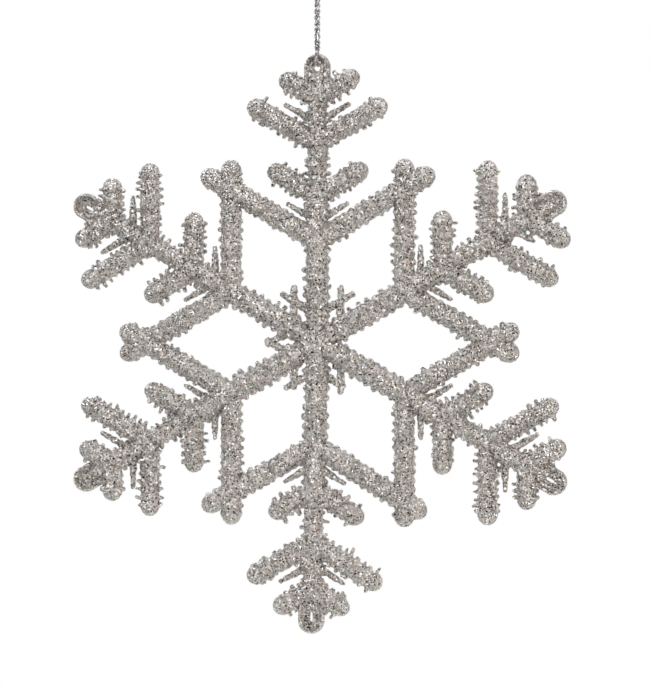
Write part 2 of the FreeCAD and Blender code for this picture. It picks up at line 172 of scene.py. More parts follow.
def joined(*meshes):
    """Several (vertices, faces) pairs as one."""
    vertices, faces = [], []
    for more_vertices, more_faces in meshes:
        start = len(vertices)
        vertices.extend(more_vertices)
        faces.extend(tuple(start + corner for corner in face) for face in more_faces)
    return vertices, faces


def twisted_strand(route, phase):
    """One of the two strands, wound round the route. phase is its angle at the lug's end."""
    line = even_line(route, STRAND_STEP * MM)
    across, up = frames_along(line)
    angle = phase + 2 * math.pi * np.arange(len(line)) * STRAND_STEP / TWIST_PITCH
    offset = across * np.cos(angle)[:, None] + up * np.sin(angle)[:, None]
    return wound_strand(line + offset * TWIST_RADIUS * MM)


thread_route = spline_line(THREAD_ROUTE)
FRONT = math.radians(-90)
BACK = math.radians(90)
thread = new_piece("twisted_thread_strands", *joined(twisted_strand(thread_route, BACK),
                                                     twisted_strand(thread_route, FRONT)))

# The strand's way over the lug, from the twist's lower end round the front of the lug and
# into the eye, in millimetres from the eye strand's own middle. The back half is the same
# line turned half a turn round the thread.
bight_low, bight_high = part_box("eye_bight")
strand_radius_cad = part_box("hang_loop")[1].z / MM / 2
eye_height = bight_low.z / MM + strand_radius_cad
twist_foot = bight_high.z / MM - eye_height
leg = bight_high.y / MM - strand_radius_cad
BIGHT_FRONT = [(0, TWIST_RADIUS, twist_foot), (0.36, 0.22, twist_foot - 0.25),
               (0.45, -0.2, twist_foot - 0.6), (0.4, -0.75, twist_foot - 1.0),
               (0.36, -1.5, twist_foot - 1.4), (0.3, -leg, twist_foot - 1.75),
               (0.2, -leg, twist_foot - 2.5), (0, -leg, 1.6), (0, -leg, 0.8),
               (0, -leg + 0.05, 0.3), (0, -leg + 0.4, 0.0), (0, -leg + 1.1, 0.0)]
BIGHT = BIGHT_FRONT + [(0, 0, 0)] + [(-x, -y, z) for x, y, z in reversed(BIGHT_FRONT)]
bight = new_piece("eye_bight_strand",
                  *wound_strand(spline_line([(x, y, z + eye_height) for x, y, z in BIGHT])))

# The knot: an overhand knot pulled tight, a trefoil of the doubled strand round two straight
# ends.
KNOT_TURNS = 160
KNOT_REACH = 0.34
KNOT_TALL = 0.62
knot_low, knot_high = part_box("thread_knot")
knot_centre = np.array((knot_low + knot_high) / 2)
around = np.linspace(0, 2 * math.pi, KNOT_TURNS)
trefoil = np.stack([KNOT_REACH * (np.sin(around) + 2 * np.sin(2 * around)),
                    KNOT_REACH * (np.cos(around) - 2 * np.cos(2 * around)),
                    -KNOT_TALL * np.sin(3 * around)], 1) * MM
knot_ends = [wound_strand(np.array([[side * TWIST_RADIUS * MM, 0, knot_low.z],
                                    [side * TWIST_RADIUS * MM, 0, knot_high.z]]))
             for side in (-1, 1)]
knot = new_piece("thread_knot_strands",
                 *joined(wound_strand(knot_centre + trefoil, closed=True), *knot_ends))

# The hang loop: two legs that leave the knot side by side and close in a round top.
LOOP_STEPS = 60
loop_low, loop_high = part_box("hang_loop")
loop_bend = (loop_high.x - loop_low.x) / MM / 2 - strand_radius_cad
loop_middle = loop_high.z / MM - strand_radius_cad - loop_bend
leg_foot = np.array([TWIST_RADIUS, loop_low.z / MM - loop_middle])
leg_swing = (math.acos(loop_bend / np.linalg.norm(leg_foot))
             + math.atan2(leg_foot[1], leg_foot[0]))
loop_line = [(TWIST_RADIUS, leg_foot[1])]
for angle in np.linspace(leg_swing, math.pi - leg_swing, LOOP_STEPS):
    loop_line.append((loop_bend * math.cos(angle), loop_bend * math.sin(angle)))
loop_line.append((-TWIST_RADIUS, leg_foot[1]))
loop = new_piece("hang_loop_strand", *wound_strand(
    np.array([(x, 0, z + loop_middle) for x, z in loop_line]) * MM))


def linear(colour):
    """A six-digit sRGB colour as the linear RGBA that a shader takes."""
    channels = [int(colour[place:place + 2], 16) / 255 for place in (0, 2, 4)]
    curved = [c / 12.92 if c <= 0.04045 else ((c + 0.055) / 1.055) ** 2.4 for c in channels]
    return (*curved, 1.0)


def add_node(material, kind, links=None, **settings):
    """A shader node with its settings, its unlinked inputs and the sockets that feed it."""
    node = material.node_tree.nodes.new(kind)
    for name, value in settings.items():
        setattr(node, name, value)
    for socket, value in (links or {}).items():
        if isinstance(value, bpy.types.NodeSocket):
            material.node_tree.links.new(value, node.inputs[socket])
        else:
            node.inputs[socket].default_value = value
    return node


def new_material(name):
    """An empty material and its output node."""
    material = bpy.data.materials.new(name)
    material.use_nodes = True
    material.node_tree.nodes.clear()
    return material, add_node(material, "ShaderNodeOutputMaterial")


def constant_steps(ramp_node, steps):
    """Sets a colour ramp to plain steps, each a start and a hex colour."""
    ramp = ramp_node.color_ramp
    ramp.interpolation = "CONSTANT"
    while len(ramp.elements) > 1:
        ramp.elements.remove(ramp.elements[-1])
    ramp.elements[0].position = 0.0
    ramp.elements[0].color = linear(steps[0][1])
    for start, colour in steps[1:]:
        ramp.elements.new(start).color = linear(colour)


def metallised_thread():
    """Vacuum-metallised film wound on a core. Each facet is tilted its own way, so bright glints
    come where the flat film faces a light. About a quarter of the facets are painted dark grey, as
    painted shade for film turned away from the light, and some are faintly pink. The film's facets
    are about 0.28 mm long."""
    facet = 0.28 * MM
    facet_lean = 0.6
    film_roughness = 0.3
    # The first step, a dark grey, is painted shade for facets turned away from the light.
    tones_and_painted_shade = [(0.0, "4E4A4E"), (0.28, "D9D7D9"), (0.55, "FFFFFF"), (0.82, "B5AAAB")]
    material, output = new_material("vacuum_metallised_film_thread")
    place = add_node(material, "ShaderNodeTexCoord")
    facets = add_node(material, "ShaderNodeTexVoronoi",
                      {"Vector": place.outputs["Object"], "Scale": 1 / facet})
    shade = add_node(material, "ShaderNodeSeparateColor", {"Color": facets.outputs["Color"]})
    facet_tone_and_painted_shade = add_node(material, "ShaderNodeValToRGB", {"Fac": shade.outputs["Red"]})
    constant_steps(facet_tone_and_painted_shade, tones_and_painted_shade)
    centred = add_node(material, "ShaderNodeVectorMath",
                       {0: facets.outputs["Color"], 1: (0.5, 0.5, 0.5)}, operation="SUBTRACT")
    lean = add_node(material, "ShaderNodeVectorMath",
                    {0: centred.outputs[0], "Scale": facet_lean}, operation="SCALE")
    geometry = add_node(material, "ShaderNodeNewGeometry")
    tilted = add_node(material, "ShaderNodeVectorMath",
                      {0: geometry.outputs["Normal"], 1: lean.outputs[0]}, operation="ADD")
    unit = add_node(material, "ShaderNodeVectorMath", {0: tilted.outputs[0]},
                    operation="NORMALIZE")
    surface = add_node(material, "ShaderNodeBsdfPrincipled",
                       {"Base Color": facet_tone_and_painted_shade.outputs["Color"], "Metallic": 1.0,
                        "Roughness": film_roughness, "Normal": unit.outputs[0]})
    material.node_tree.links.new(surface.outputs[0], output.inputs["Surface"])
    return material


thread_finish = metallised_thread()
for piece, body, node in [(thread, "thread", "twisted_thread"), (bight, "thread", "eye_bight"),
                          (knot, "knot", "thread_knot"), (loop, "loop", "hang_loop")]:
    piece.data.materials.append(thread_finish)
    piece.data.polygons.foreach_set("use_smooth", [True] * len(piece.data.polygons))
    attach(piece, body)
    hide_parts(node)

# ------------------------------------------------------------------ the spines
# Six straight bars of moulded plastic that meet at the centre. Each is a row of low crowned
# beads with rows of round-ended nubs down its sides, dipped in adhesive and coated with glitter.

ARMS = ["top", "upper_right", "lower_right", "bottom", "lower_left", "upper_left"]
SECTOR = math.radians(60)
# The bottom arm came out of the mould a little askew and a little long.
ARM_LEAN = {"bottom": math.radians(1.25)}
ARM_STRETCH = {"bottom": 1.009}
# Of a ringed bar, in millimetres: half the width between its rings of nubs, how far the nubs
# rise above that, a nub's radius and the distance from ring to ring.
SPINE_SHAPE = (3.06, 0.66, 0.95, 2.35)
SPINE_OUTER_SHAPE = (2.62, 0.9, 0.66, 1.97)
# The rings: how far their beads run into each other, and how uneven they are.
CORE_OVERLAP = 1.15
CORE_SPREAD = (0.97, 1.04)
RING_SHIFT = 0.15
# The nubs: the front and back ones are lower, the two flanks differ, some are long or missing.
NUBS_ROUND = 9
NUB_BURY = 0.45
NUB_RISE_SPREAD = (0.35, 1.4)
NUB_RADIUS_SPREAD = (0.8, 1.1)
NUB_TURN = 8
NUB_SHIFT = 0.3
NUB_LEAN = 0.25
NUB_CLEARANCE = 0.2
FLAT_FACE = 0.35
FLANK_RISE = (0.8, 1.5)
LONG_NUB_SHARE = 0.1
LONG_NUB_RISE = 0.5
MISSING_NUB_SHARE = 0.12
# The low crowns along the front and back, each centred a little in from the surface.
CROWN_PITCH = 3.2
CROWN_HALF_LENGTH = 1.7
CROWN_HALF_WIDTH = 2.0
CROWN_RISE = 0.55
CROWN_LENGTH_SPREAD = (0.9, 1.1)
CROWN_RISE_SPREAD = (0.7, 1.2)
CROWN_DEPTH = 0.9
CROWN_SHIFT = 0.3
CROWN_SIDESTEP = 0.4
# The coat's relief: each glitter grain lifts and leans by its own amount.
MESH_STEP = 0.21
GRAIN = 0.34
GRAIN_LIFT = 0.05
GRAIN_LEAN = 0.4
GRAIN_LIMIT = 0.16
GRAIN_MARGIN = 0.15
GRAIN_SPREAD = 0.7
ARM_GRAIN_SHIFT = 40.0
# Each grain's numbers are worked out from its place with these, so they repeat run by run.
CELL_PRIMES = (73856093, 19349663, 83492791)
NUMBER_PRIMES = (2654435761, 40503, 65537, 99991, 7919)
NUMBER_STEPS = 9973
SPINE_SEED = 100


def unit_ball(subdivisions):
    """A round ball of radius one, as vertex and face arrays."""
    ball = bmesh.new()
    bmesh.ops.create_icosphere(ball, subdivisions=subdivisions, radius=1.0)
    vertices = np.array([vertex.co[:] for vertex in ball.verts])
    faces = np.array([[vertex.index for vertex in face.verts] for face in ball.faces])
    ball.free()
    return vertices, faces


COARSE_BALL = unit_ball(2)
FINE_BALL = unit_ball(3)


def turned(vector, angle):
    """A vector of the flake's plane turned clockwise, as seen from the front."""
    c, s = math.cos(angle), math.sin(angle)
    return np.array([vector[0] * c + vector[2] * s, vector[1], -vector[0] * s + vector[2] * c])


UP = np.array([0.0, 0.0, 1.0])
THROUGH = np.array([0.0, 1.0, 0.0])


def lump(centre, along, half_length, half_width, half_depth=None, fine=False):
    """An egg-shaped lump: long along one direction, half_depth measured along Y."""
    ball, faces = FINE_BALL if fine else COARSE_BALL
    along = along / np.linalg.norm(along)
    guide = THROUGH if abs(along[1]) < NEARLY_ALONG else UP
    side = np.cross(guide, along)
    side /= np.linalg.norm(side)
    third = np.cross(along, side)
    depth = half_width if half_depth is None else half_depth
    axes = np.stack([side * half_width, third * depth, along * half_length])
    return centre + ball @ axes, faces


def finger(foot, out, length, radius):
    """A round-ended nub: a ball drawn out to a length."""
    ball, faces = COARSE_BALL
    out = out / np.linalg.norm(out)
    side = np.cross(out, UP if abs(out[2]) < NEARLY_ALONG else THROUGH)
    side /= np.linalg.norm(side)
    third = np.cross(out, side)
    drawn = ball * radius
    drawn[:, 2] += np.where(ball[:, 2] > 0, length, 0.0)
    return foot + drawn @ np.stack([side, third, out]), faces


def distance_to_bar(point, bar):
    """From a point to a bar's axis."""
    root, tip = bar[0], bar[1]
    run = tip - root
    share = np.clip((point - root) @ run / (run @ run), 0, 1)
    return np.linalg.norm(point - root - run * share)


def ringed_bar(root, direction, start, end, shape, chance, others):
    """A bar as rings of round-ended nubs of uneven height, with low smooth crowns along its
    front and back. A nub is left out where it would meet another bar."""
    core, rise, nub_radius, pitch = shape
    side = np.cross(THROUGH, direction)
    flanks = chance.uniform(*FLANK_RISE, 2)
    made = []
    for place in np.linspace(start, end, max(2, round((end - start) / pitch) + 1)):
        middle = root + direction * (place + chance.uniform(-RING_SHIFT, RING_SHIFT))
        made.append(lump(middle, direction, pitch * CORE_OVERLAP,
                         core * chance.uniform(*CORE_SPREAD), fine=True))
        first = chance.uniform(0, 360)
        for number in range(NUBS_ROUND):
            angle = math.radians(first + 360 / NUBS_ROUND * number
                                 + chance.uniform(-NUB_TURN, NUB_TURN))
            out = side * math.cos(angle) + THROUGH * math.sin(angle)
            flank = 1 + (flanks[int(math.cos(angle) > 0)] - 1) * abs(math.cos(angle))
            tall = rise * chance.uniform(*NUB_RISE_SPREAD) * flank
            tall *= 1 - FLAT_FACE * abs(math.sin(angle))
            if chance.random() < LONG_NUB_SHARE:
                tall += LONG_NUB_RISE
            shift = direction * chance.uniform(-NUB_SHIFT, NUB_SHIFT)
            lean = out + direction * chance.uniform(-NUB_LEAN, NUB_LEAN)
            radius = nub_radius * chance.uniform(*NUB_RADIUS_SPREAD) / math.sqrt(flank)
            tip = middle + shift + out * (core + tall)
            missing = chance.random() < MISSING_NUB_SHARE
            if not missing and all(distance_to_bar(tip, bar) > bar[2] + NUB_CLEARANCE
                                   for bar in others):
                foot = middle + shift + out * (core - NUB_BURY)
                made.append(finger(foot, lean, max(0.0, tall + NUB_BURY - radius), radius))
    for face in (-1, 1):
        for place in np.arange(start + chance.uniform(0, CROWN_PITCH), end, CROWN_PITCH):
            crown = (root + direction * (place + chance.uniform(-CROWN_SHIFT, CROWN_SHIFT))
                     + side * chance.uniform(-CROWN_SIDESTEP, CROWN_SIDESTEP)
                     + THROUGH * face * CROWN_DEPTH)
            depth = core + CROWN_RISE * chance.uniform(*CROWN_RISE_SPREAD) - CROWN_DEPTH
            half_length = CROWN_HALF_LENGTH * chance.uniform(*CROWN_LENGTH_SPREAD)
            made.append(lump(crown, direction, half_length, CROWN_HALF_WIDTH, depth, fine=True))
    return made


def grain_cells(points, cell):
    """For each point, its glitter grain: the way from the grain's middle, and five numbers
    from -1 to 1 that are the same over the grain."""
    base = np.floor(points / cell).astype(np.int64)
    best = np.full(len(points), np.inf)
    away = np.zeros_like(points)
    numbers = np.zeros((len(points), 5))
    for step in np.ndindex(3, 3, 3):
        corner = base + np.array(step) - 1
        mixed = (corner[:, 0] * CELL_PRIMES[0] ^ corner[:, 1] * CELL_PRIMES[1]
                 ^ corner[:, 2] * CELL_PRIMES[2])
        digits = np.stack([(mixed * prime >> 7) % NUMBER_STEPS / NUMBER_STEPS
                           for prime in NUMBER_PRIMES], 1)
        offset = points - (corner + GRAIN_MARGIN + GRAIN_SPREAD * digits[:, :3]) * cell
        reach = (offset ** 2).sum(1)
        nearer = reach < best
        best[nearer] = reach[nearer]
        away[nearer] = offset[nearer]
        numbers[nearer] = digits[nearer] * 2 - 1
    return away, numbers


def smoothed(vertices, edges, rounds):
    """Vertices drawn towards their neighbours, so that lumps run into each other softly."""
    count = np.bincount(edges.ravel(), minlength=len(vertices))[:, None]
    for _ in range(rounds):
        total = np.zeros_like(vertices)
        np.add.at(total, edges[:, 0], vertices[edges[:, 1]])
        np.add.at(total, edges[:, 1], vertices[edges[:, 0]])
        vertices = vertices * 0.5 + total / count * 0.5
    return vertices


def coated_piece(name, lumps, arm_number, rounds=2):
    """Lumps of one node as one closed skin with the relief of its glitter, placed on its arm."""
    start, all_vertices, all_faces = 0, [], []
    for vertices, faces in lumps:
        all_vertices.append(vertices)
        all_faces.append(faces + start)
        start += len(vertices)
    rough = bpy.data.meshes.new(name + "_lumps")
    rough.from_pydata(np.concatenate(all_vertices).tolist(), [],
                      np.concatenate(all_faces).tolist())
    holder = bpy.data.objects.new(name + "_lumps", rough)
    bpy.context.scene.collection.objects.link(holder)
    remesh = holder.modifiers.new("skin", "REMESH")
    remesh.mode = "VOXEL"
    remesh.voxel_size = MESH_STEP
    depsgraph = bpy.context.evaluated_depsgraph_get()
    mesh = bpy.data.meshes.new_from_object(holder.evaluated_get(depsgraph))
    bpy.data.objects.remove(holder)
    bpy.data.meshes.remove(rough)
    mesh.name = name
    vertices = np.zeros(len(mesh.vertices) * 3)
    mesh.vertices.foreach_get("co", vertices)
    edges = np.zeros(len(mesh.edges) * 2, dtype=np.int32)
    mesh.edges.foreach_get("vertices", edges)
    vertices = smoothed(vertices.reshape(-1, 3), edges.reshape(-1, 2), rounds)
    mesh.vertices.foreach_set("co", vertices.ravel())
    mesh.update()
    normals = np.zeros(len(vertices) * 3)
    mesh.vertex_normals.foreach_get("vector", normals)
    normals = normals.reshape(-1, 3)
    away, numbers = grain_cells(vertices + arm_number * ARM_GRAIN_SHIFT, GRAIN)
    lift = numbers[:, 3] * GRAIN_LIFT + (away * numbers[:, :3]).sum(1) * GRAIN_LEAN
    vertices = vertices + normals * np.clip(lift, -GRAIN_LIMIT, GRAIN_LIMIT)[:, None]
    angle = arm_number * SECTOR + ARM_LEAN.get(ARMS[arm_number], 0.0)
    c, s = math.cos(angle), math.sin(angle)
    along = vertices[:, 2] * ARM_STRETCH.get(ARMS[arm_number], 1.0)
    x = vertices[:, 0] * c + along * s
    z = -vertices[:, 0] * s + along * c
    placed = np.stack([x, vertices[:, 1], z], 1) * MM + np.array(flake_centre)
    mesh.vertices.foreach_set("co", placed.ravel())
    mesh.polygons.foreach_set("use_smooth", [False] * len(mesh.polygons))
    mesh.materials.clear()
    mesh.update()
    piece = bpy.data.objects.new(name, mesh)
    bpy.context.scene.collection.objects.link(piece)
    return piece


def glitter_coat():
    """Hexagon-cut polyester glitter, metallised and lacquered, in silver with some champagne,
    glued on flat or tilted. Each grain is a small mirror. One in eight is painted near black, as
    painted shade for a grain standing on edge. The adhesive between grains is duller, and its
    darker grey is partly its own colour and partly painted shade in the gaps. The grains are 0.27
    mm across."""
    grain = 0.27 * MM
    seam = 0.05
    glue_and_painted_shade_strength = 0.25
    grain_roughness, seam_roughness = 0.28, 0.6
    # The near-black step from 0.75 is painted shade: grains standing on edge are given a dark
    # colour.
    tints_and_painted_shade = [(0.0, "DCD8D4"), (0.33, "CFC9C3"), (0.53, "FFFFFF"), (0.66, "C0B9B2"),
             (0.75, "1A1816"), (0.875, "D1CAC3"), (0.93, "C4B1A5"), (0.965, "AEB8B3"),
             (0.985, "CDAD9F")]
    material, output = new_material("silver_champagne_polyester_glitter")
    place = add_node(material, "ShaderNodeTexCoord")
    grains = add_node(material, "ShaderNodeTexVoronoi",
                      {"Vector": place.outputs["Object"], "Scale": 1 / grain})
    edges = add_node(material, "ShaderNodeTexVoronoi",
                     {"Vector": place.outputs["Object"], "Scale": 1 / grain},
                     feature="DISTANCE_TO_EDGE")
    # Near each grain's edge the colour goes to the darker grey 6E6862 and the roughness rises: the
    # adhesive's own colour and dullness, and painted shade in the gaps between grains.
    between = add_node(material, "ShaderNodeMapRange",
                       {"Value": edges.outputs["Distance"], "From Min": 0.0, "From Max": seam,
                        "To Min": glue_and_painted_shade_strength, "To Max": 0.0})
    numbers = add_node(material, "ShaderNodeSeparateColor", {"Color": grains.outputs["Color"]})
    grain_tint_and_painted_shade = add_node(material, "ShaderNodeValToRGB", {"Fac": numbers.outputs["Red"]})
    constant_steps(grain_tint_and_painted_shade, tints_and_painted_shade)
    coloured = add_node(material, "ShaderNodeMix",
                        {"Factor": between.outputs[0], 6: grain_tint_and_painted_shade.outputs["Color"],
                         7: linear("6E6862")}, data_type="RGBA")
    rough = add_node(material, "ShaderNodeMapRange",
                     {"Value": between.outputs[0], "To Min": grain_roughness,
                      "To Max": seam_roughness})
    centred = add_node(material, "ShaderNodeVectorMath",
                       {0: grains.outputs["Color"], 1: (0.5, 0.5, 0.5)}, operation="SUBTRACT")
    geometry = add_node(material, "ShaderNodeNewGeometry")
    tilted = add_node(material, "ShaderNodeVectorMath",
                      {0: geometry.outputs["Normal"], 1: centred.outputs[0]}, operation="ADD")
    unit = add_node(material, "ShaderNodeVectorMath", {0: tilted.outputs[0]},
                    operation="NORMALIZE")
    surface = add_node(material, "ShaderNodeBsdfPrincipled",
                       {"Base Color": coloured.outputs[2], "Metallic": 1.0,
                        "Roughness": rough.outputs[0], "Normal": unit.outputs[0]})
    material.node_tree.links.new(surface.outputs[0], output.inputs["Surface"])
    return material


glitter = glitter_coat()


def finish_piece(piece, node):
    """Coats a piece and puts it in its node's place on the flake."""
    piece.data.materials.append(glitter)
    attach(piece, "flake")
    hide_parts(node)


def bars_from_frame(group):
    """Where the top arm's bars of one group leave the spine and how far they reach, in
    millimetres."""
    low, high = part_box("top_" + group)
    radius = (high.y - low.y) / MM / 2
    reach = (high.x / MM - radius) / math.sin(SECTOR)
    station = (high.z - flake_centre.z) / MM - radius - reach * math.cos(SECTOR)
    return station, reach


def side_bar(station, reach, side, width):
    """A bar on one side of a spine pointing up: root, tip and half-width."""
    root = UP * station
    return root, root + turned(UP, side * SECTOR) * reach, width


TIP_TWIG = bars_from_frame("tip_twigs")
MIDDLE_TWIG = bars_from_frame("middle_twigs")
INNER_TWIG = bars_from_frame("inner_twigs")
LINK_BAR = bars_from_frame("link_bars")
OUTER_NEEDLE = (57.2, 9.6)
INNER_NEEDLE = (31.6, 9.1)
spine_end = (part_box("top_lug")[0].z - flake_centre.z) / MM
lug_top = (flake_high.z - flake_centre.z) / MM

# Beyond its inner twigs a spine is slimmer, with longer nubs.
SPINE_STEP = INNER_TWIG[0]
# Nubs keep this far, and their clearance, from another bar's axis.
SPINE_KEEP_OUT = 2.8
BAR_KEEP_OUT = 2.7
NEEDLE_KEEP_OUT = 1.1
arm_bars = {"spine": [(UP * 0, UP * spine_end, SPINE_KEEP_OUT)]}
for name, (station, reach), width in [("tip", TIP_TWIG, BAR_KEEP_OUT),
                                      ("middle", MIDDLE_TWIG, BAR_KEEP_OUT),
                                      ("inner", INNER_TWIG, BAR_KEEP_OUT),
                                      ("link", LINK_BAR, BAR_KEEP_OUT),
                                      ("outer_needle", OUTER_NEEDLE, NEEDLE_KEEP_OUT),
                                      ("inner_needle", INNER_NEEDLE, NEEDLE_KEEP_OUT)]:
    arm_bars[name] = [side_bar(station, reach, side, width) for side in (-1, 1)]
next_arms = [(turned(bar[0], turn), turned(bar[1], turn), bar[2])
             for turn in (-SECTOR, SECTOR) for name in ("spine", "link") for bar in arm_bars[name]]


def other_bars(own):
    """Every bar of the arm and of the next arms that a group's nubs have to keep clear of."""
    return next_arms + [bar for name, bars in arm_bars.items() if name != own for bar in bars]


for arm_number, arm in enumerate(ARMS):
    chance = np.random.default_rng(SPINE_SEED + arm_number)
    lumps = ringed_bar(UP * 0, UP, 0.0, SPINE_STEP, SPINE_SHAPE, chance, other_bars("spine"))
    lumps += ringed_bar(UP * 0, UP, SPINE_STEP, spine_end, SPINE_OUTER_SHAPE, chance,
                        other_bars("spine"))
    finish_piece(coated_piece(arm + "_spine_coat", lumps, arm_number), arm + "_spine")

# ------------------------------------------------------------------ the lugs
# A flat lug ends each spine, with a raised rim all round. The top one has a round hanging eye,
# and the others an oval recess, which is a slit right through unless glitter has filled it.

LUG_HALF_WIDTH = (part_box("top_lug")[1].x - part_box("top_lug")[0].x) / MM / 2
LUG_HALF_DEPTH = (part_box("top_lug")[1].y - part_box("top_lug")[0].y) / MM / 2
LUG_COAT = 0.3
LUMP_STEP = 0.4
RIM_HALF_WIDTH = 0.58
EDGE_HALF_DEPTH = 1.25
# Setbacks are from the lug's outer end, along the arm.
EYE_RADIUS = 0.8
EYE_SETBACK = 3.4
EYE_EDGE = 0.75
EYE_LUMPS = 24
SLOT_LENGTH = 3.4
SLOT_SETBACK = 2.85
SLOT_EDGE = 0.5
SLOT_EDGE_AXIS = 0.84
SLOT_EDGE_STEP = 0.35
GROOVE_AXIS = 1.95
GROOVE_RADIUS = 0.9
GROOVE_HALF_DEPTH = 0.5
GROOVE_OVERHANG = 1.1
# The solid neck between the opening and the spine: where it starts and how far it stays from
# the opening, a lump's half-length and half-width, and its depth as a share of the rim's.
NECK_STEP = 0.5
EYE_NECK = (1.5, 2.4, 1.6, 2.2, 0.93)
SLOT_NECK = (1.0, 0.6, 1.2, 2.4, 0.9)
# Glitter that fills a recess.
FILLING = (0.8, 1.0, 0.75)


def long_ring(half_width, low, high, step):
    """Points round a long outline with round ends, from low to high along the arm."""
    lower, upper = low + half_width, high - half_width
    sides = np.arange(lower, upper, step)
    ring = [(side * half_width, place) for side in (-1, 1) for place in sides]
    for turn in np.arange(0, math.pi, step / half_width):
        ring.append((half_width * math.cos(turn), upper + half_width * math.sin(turn)))
        ring.append((half_width * math.cos(turn), lower - half_width * math.sin(turn)))
    return [np.array([x, 0.0, z]) for x, z in ring]


def neck_lumps(neck, low, opening):
    """The solid neck of a lug, from its lower end to the opening."""
    start, gap, half_length, half_width, depth_share = neck
    return [lump(UP * place, UP, half_length, half_width, LUG_HALF_DEPTH * depth_share)
            for place in np.arange(low + start, opening - gap, NECK_STEP)]


def lug_lumps(kind):
    """The rim, the eye's or the recess's own raised edge, and the neck. Round a recess there
    is a thinner groove between its edge and the rim."""
    low, high = spine_end, lug_top + LUG_COAT
    rim = long_ring(LUG_HALF_WIDTH - RIM_HALF_WIDTH, low + RIM_HALF_WIDTH,
                    high - RIM_HALF_WIDTH, LUMP_STEP)
    lumps = [lump(place, UP, RIM_HALF_WIDTH, RIM_HALF_WIDTH, LUG_HALF_DEPTH) for place in rim]
    if kind == "eye":
        eye = UP * (lug_top - EYE_SETBACK)
        for turn in np.linspace(0, 2 * math.pi, EYE_LUMPS, endpoint=False):
            out = np.array([math.cos(turn), 0, math.sin(turn)])
            lumps.append(lump(eye + out * (EYE_RADIUS + EYE_EDGE), UP, EYE_EDGE, EYE_EDGE,
                              EDGE_HALF_DEPTH))
        return lumps + neck_lumps(EYE_NECK, low, eye[2])
    slot_high = high - SLOT_SETBACK
    slot_low = slot_high - SLOT_LENGTH
    groove = long_ring(GROOVE_AXIS, slot_low - GROOVE_OVERHANG, slot_high + GROOVE_OVERHANG,
                       LUMP_STEP)
    lumps += [lump(place, UP, GROOVE_RADIUS, GROOVE_RADIUS, GROOVE_HALF_DEPTH)
              for place in groove]
    edge = long_ring(SLOT_EDGE_AXIS, slot_low, slot_high, SLOT_EDGE_STEP)
    lumps += [lump(place, UP, SLOT_EDGE, SLOT_EDGE, EDGE_HALF_DEPTH) for place in edge]
    lumps += neck_lumps(SLOT_NECK, low, slot_low)
    if kind == "filled":
        lumps += [lump(UP * place, UP, *FILLING)
                  for place in np.arange(slot_low, slot_high, LUMP_STEP)]
    return lumps


LUG_KINDS = {"top": "eye", "upper_right": "filled", "lower_left": "filled"}
for arm_number, arm in enumerate(ARMS):
    kind = LUG_KINDS.get(arm, "slit")
    finish_piece(coated_piece(arm + "_lug_coat", lug_lumps(kind), arm_number, rounds=1),
                 arm + "_lug")

# ------------------------------------------------------------------ the twigs and link bars
# Four pairs of side bars on each spine, parallel to the next arms and moulded in one with it.
# Each ends in a smooth round bulb. The link bars cross those of the next arms near their ends.

TWIG_SHAPE = (2.65, 0.98, 0.66, 1.97)
LINK_SHAPE = (2.78, 0.52, 0.8, 2.1)
SIDE_BAR_SEED = 200
BAR_START = 1.0
BULB_RADIUS = 2.55
BULB_STRETCH = 1.08
BULB_SPREAD = (0.95, 1.06)
BULB_REACH = 0.1
RINGS_SHORT_OF_BULB = 0.3
# The moulding and its coat are uneven: how much longer the bar on an arm's left and on its
# right came out, as seen with that arm pointing up.
UNEVEN_ENDS = {("top", "tip"): (0.0, 1.4), ("top", "link"): (1.2, 1.2),
               ("upper_right", "tip"): (0.0, 1.4), ("bottom", "middle"): (0.0, -1.4),
               ("bottom", "inner"): (0.0, -1.6), ("lower_left", "tip"): (-1.6, -1.6),
               ("lower_left", "middle"): (-1.4, 0.0)}


def side_bar_lumps(bar, growth, own, chance):
    """One side bar: beads, nubs and its end bulb, that much longer than the CAD's."""
    root, tip, _ = bar
    direction = (tip - root) / np.linalg.norm(tip - root)
    tip = tip + direction * growth
    reach = np.linalg.norm(tip - root)
    bulb = BULB_RADIUS * chance.uniform(*BULB_SPREAD)
    shape = LINK_SHAPE if own == "link" else TWIG_SHAPE
    lumps = ringed_bar(root, direction, BAR_START, reach - RINGS_SHORT_OF_BULB, shape, chance,
                       other_bars(own))
    lumps.append(lump(tip + direction * BULB_REACH, direction, bulb * BULB_STRETCH, bulb,
                      fine=True))
    return lumps


for arm_number, arm in enumerate(ARMS):
    for group_number, (own, group) in enumerate([("tip", "tip_twigs"), ("middle", "middle_twigs"),
                                                 ("inner", "inner_twigs"),
                                                 ("link", "link_bars")]):
        chance = np.random.default_rng(SIDE_BAR_SEED + arm_number * 10 + group_number)
        lumps = []
        for bar, growth in zip(arm_bars[own], UNEVEN_ENDS.get((arm, own), (0.0, 0.0))):
            lumps += side_bar_lumps(bar, growth, own, chance)
        finish_piece(coated_piece("%s_%s_coat" % (arm, group), lumps, arm_number),
                     "%s_%s" % (arm, group))

# ------------------------------------------------------------------ the needles
# Thin tapered needles without nubs: a pair above the middle twigs, a pair under the inner ones,
# and the small ones of the centre star, which cross those of the next arms.

NEEDLE_SEED = 300
NEEDLE_STEP = 0.6
NEEDLE_LUMP = 0.62
NEEDLE_WANDER = 0.14
NEEDLE_SPREAD = (0.84, 1.14)
# The radius at the root and at the tip.
NEEDLE_TAPER = (1.4, 0.65)
STAR_TAPER = (1.4, 0.92)
